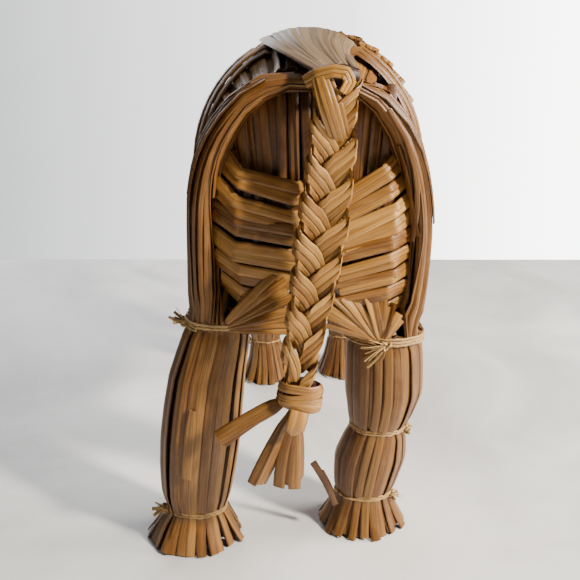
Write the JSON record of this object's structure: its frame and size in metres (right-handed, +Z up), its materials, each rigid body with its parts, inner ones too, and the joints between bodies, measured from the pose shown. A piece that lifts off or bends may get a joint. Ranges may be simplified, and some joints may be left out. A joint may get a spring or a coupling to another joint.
{
  "type": "straw goat ornament",
  "caption": "Free-standing goat figure of bound straw bundles with braided horns, wrapped haunches, flared feet and a hinged plaited tail.",
  "frame": {"origin": "on the surface that it stands on, under the middle of its overall length and width", "axes": "+Y towards the nose, +Z up, +X to the goat's right"},
  "size_m": [0.1285, 0.2656, 0.2015],
  "materials": {
    "straw_golden": "satin",
    "straw_pale": "satin",
    "straw_grey": "satin",
    "straw_dark": "satin",
    "twine": "matte"
  },
  "bodies": {
    "goat": {"body_core": "straw_golden", "girth_band_rear": "straw_golden", "girth_band_front": "straw_golden", "neck_bundle": "straw_golden", "head_bundle": "straw_golden", "rump_arch_left": "straw_golden", "rump_arch_right": "straw_golden", "shoulder_arch_left": "straw_golden", "shoulder_arch_right": "straw_golden", "hind_leg_left": "straw_golden", "hind_leg_right": "straw_golden", "front_leg_left": "straw_golden", "front_leg_right": "straw_golden", "back_fan": "straw_grey", "rump_panel": "straw_dark", "broken_straw": "straw_dark", "beard": "straw_pale", "haunch_wrap_left": "straw_pale", "haunch_wrap_right": "straw_pale", "hip_fan_left": "straw_pale", "hip_fan_right": "straw_pale", "ear_left": "straw_pale", "ear_right": "straw_pale", "horn_left_strand_1": "straw_pale", "horn_left_strand_2": "straw_pale", "horn_left_strand_3": "straw_pale", "horn_right_strand_1": "straw_pale", "horn_right_strand_2": "straw_pale", "horn_right_strand_3": "straw_pale", "neck_tie": "twine", "muzzle_tie": "twine", "beard_tie": "twine", "knee_tie_right": "twine", "hip_tie_left": "twine", "hip_tie_right": "twine", "shoulder_tie_left": "twine", "shoulder_tie_right": "twine", "hind_ankle_tie_left": "twine", "hind_ankle_tie_right": "twine", "front_ankle_tie_left": "twine", "front_ankle_tie_right": "twine"},
    "tail_root": {"tail_root_wrap": "straw_pale"},
    "tail": {"tail_strand_1": "straw_pale", "tail_strand_2": "straw_pale", "tail_strand_3": "straw_pale", "tail_end_wrap": "straw_pale", "tail_tuft": "straw_golden", "tail_stray_straw": "straw_golden"}
  },
  "joints": [
    {"name": "tail_swing", "type": "hinge", "parent": "goat", "child": "tail_root", "pos_m": [0.0096, -0.117, 0.184], "axis": [0, 1, 0], "range_deg": [-8, 8]},
    {"name": "tail_lift", "type": "hinge", "parent": "tail_root", "child": "tail", "pos_m": [0.0096, -0.117, 0.184], "axis": [-1, 0, 0], "range_deg": [0, 40]}
  ]
}
